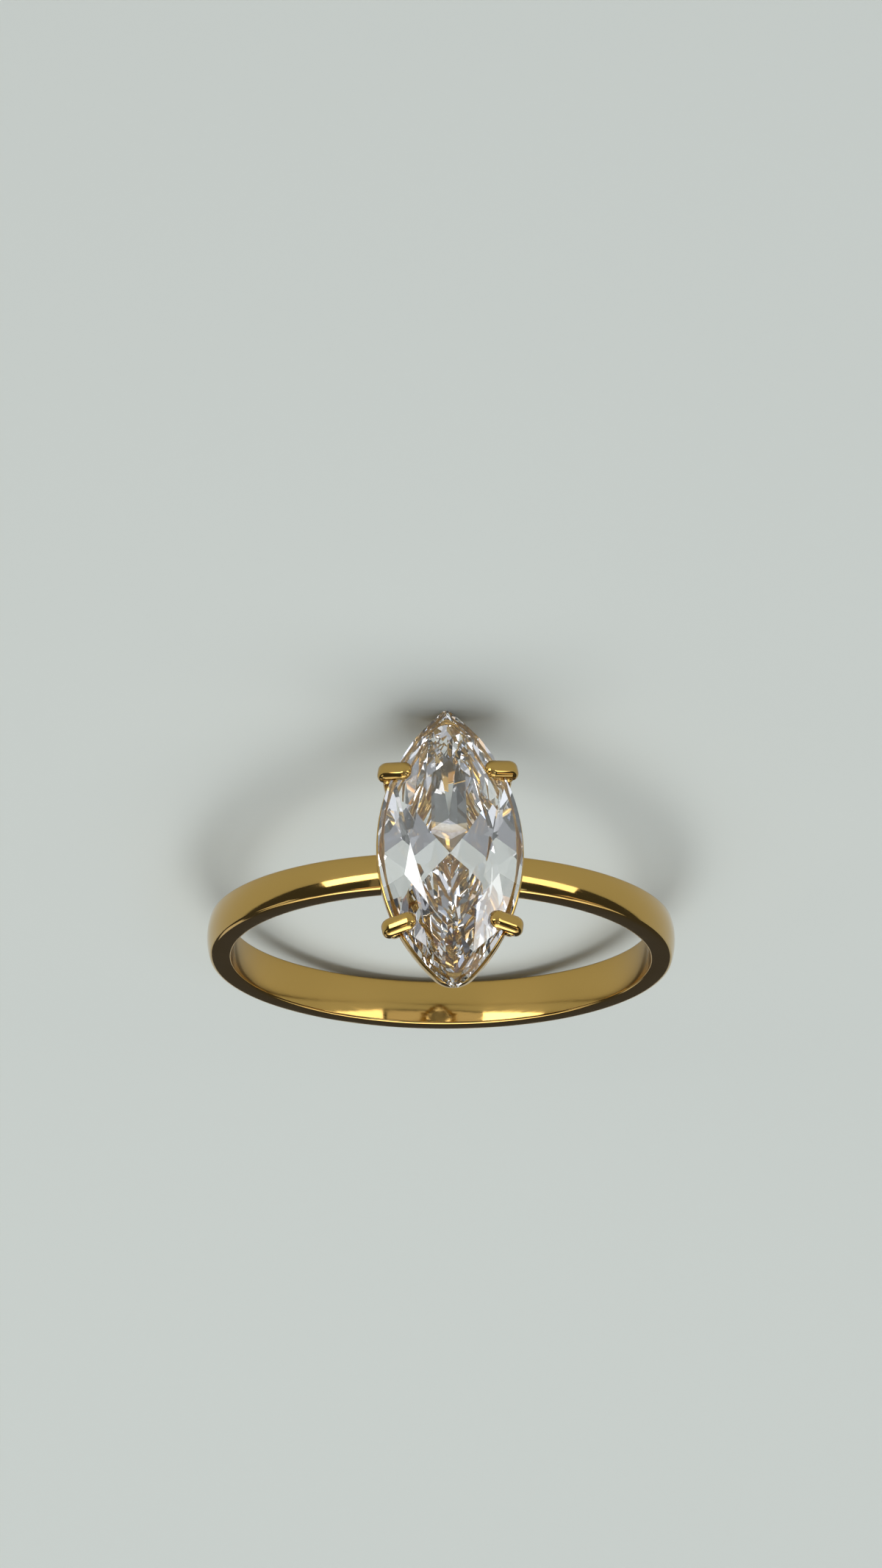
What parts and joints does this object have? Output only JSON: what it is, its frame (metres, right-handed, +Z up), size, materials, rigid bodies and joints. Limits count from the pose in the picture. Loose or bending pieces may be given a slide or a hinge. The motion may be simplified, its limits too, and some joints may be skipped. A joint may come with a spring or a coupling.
{
  "type": "marquise solitaire ring",
  "caption": "Plain round gold band with a marquise-cut clear stone held by corner claws on two curved wires and a thin rail.",
  "frame": {"origin": "on the surface that the ring lies on, under the middle of its box", "axes": "+Z up, +Y from the stone towards the far side of the band, +X across the band"},
  "size_m": [0.0202, 0.024, 0.0118],
  "materials": {
    "gold": "polished",
    "stone": "polished"
  },
  "bodies": {
    "root": {"band_and_setting": "gold", "stone": "stone"}
  },
  "joints": []
}
